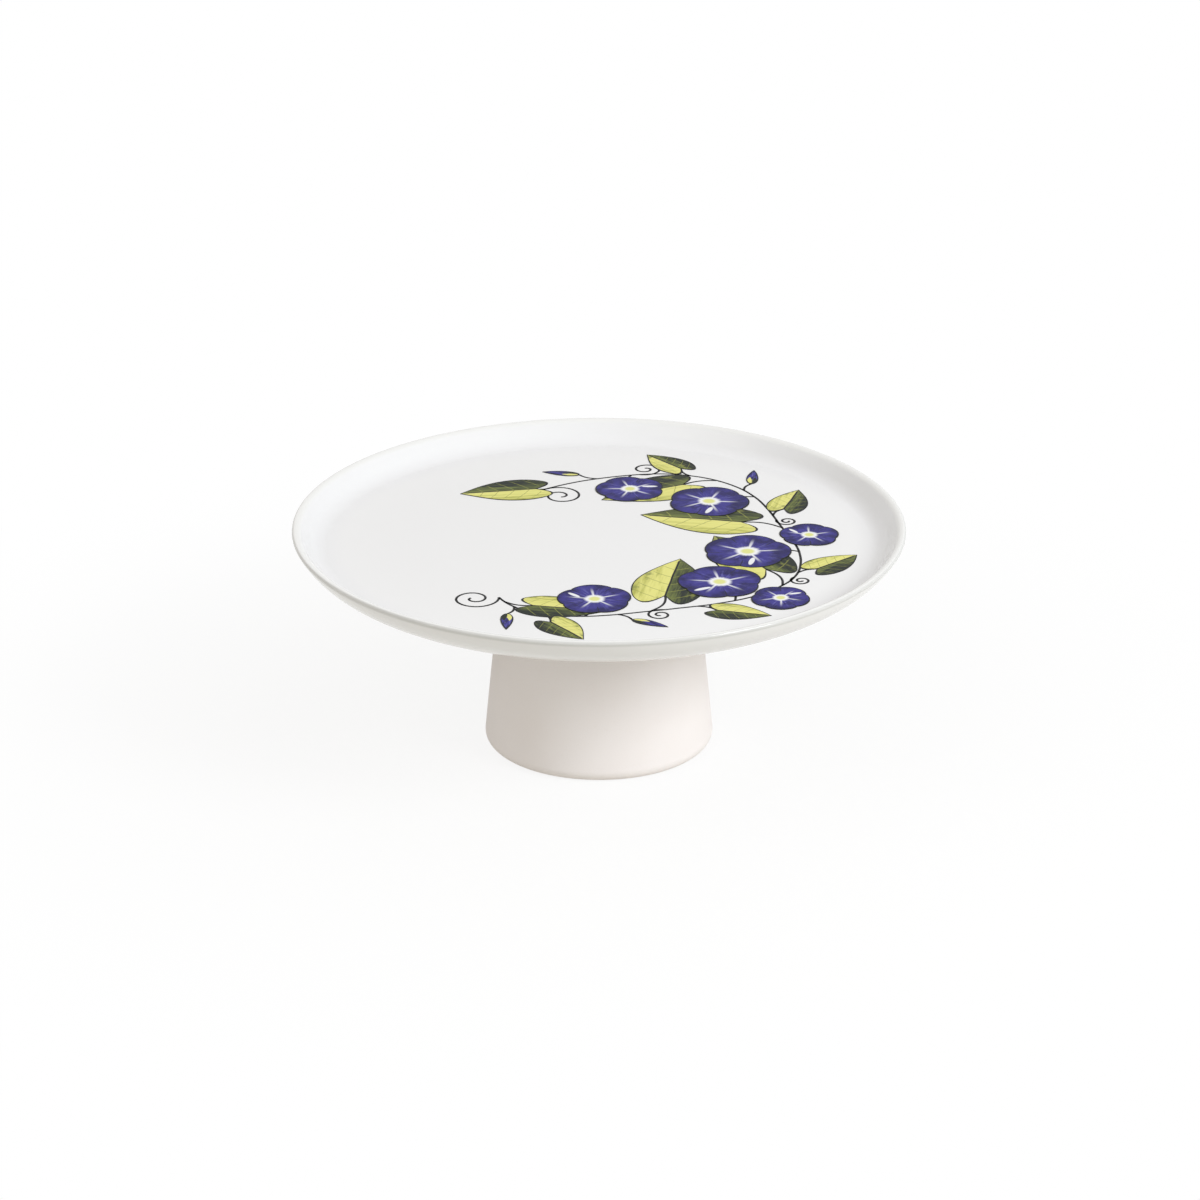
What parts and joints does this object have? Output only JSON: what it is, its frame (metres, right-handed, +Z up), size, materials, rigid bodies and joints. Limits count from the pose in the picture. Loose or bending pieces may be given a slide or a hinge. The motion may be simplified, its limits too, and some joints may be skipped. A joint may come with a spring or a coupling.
{
  "type": "footed serving plate",
  "caption": "Shallow round glazed plate with a rolled lip, bonded on a hollow tapered matte ceramic foot, for serving cake, fruit or bread at the table.",
  "frame": {"origin": "on the table at the centre of the foot's heel", "axes": "+Z up along the axis of the plate and foot; +X to the right and +Y away from a viewer in front"},
  "size_m": [0.25, 0.25, 0.095],
  "materials": {
    "white_glaze": "glossy white glaze over a fired body, a little softened at the lip",
    "cream_bisque": "matte cream ceramic with a fine dry grain",
    "ceramic_bond": "cured adhesive, hidden inside the joint",
    "petal_enamel": "fired-on blue enamel with brushed light and dark washes",
    "leaf_enamel": "fired-on green enamel, yellow-green on one half of a leaf and near-black green on the other",
    "line_enamel": "fired-on near-black enamel, drawn as thin lines"
  },
  "bodies": {
    "root": {"plate": "white_glaze", "foot": "cream_bisque", "bond_ring": "ceramic_bond"}
  },
  "joints": []
}
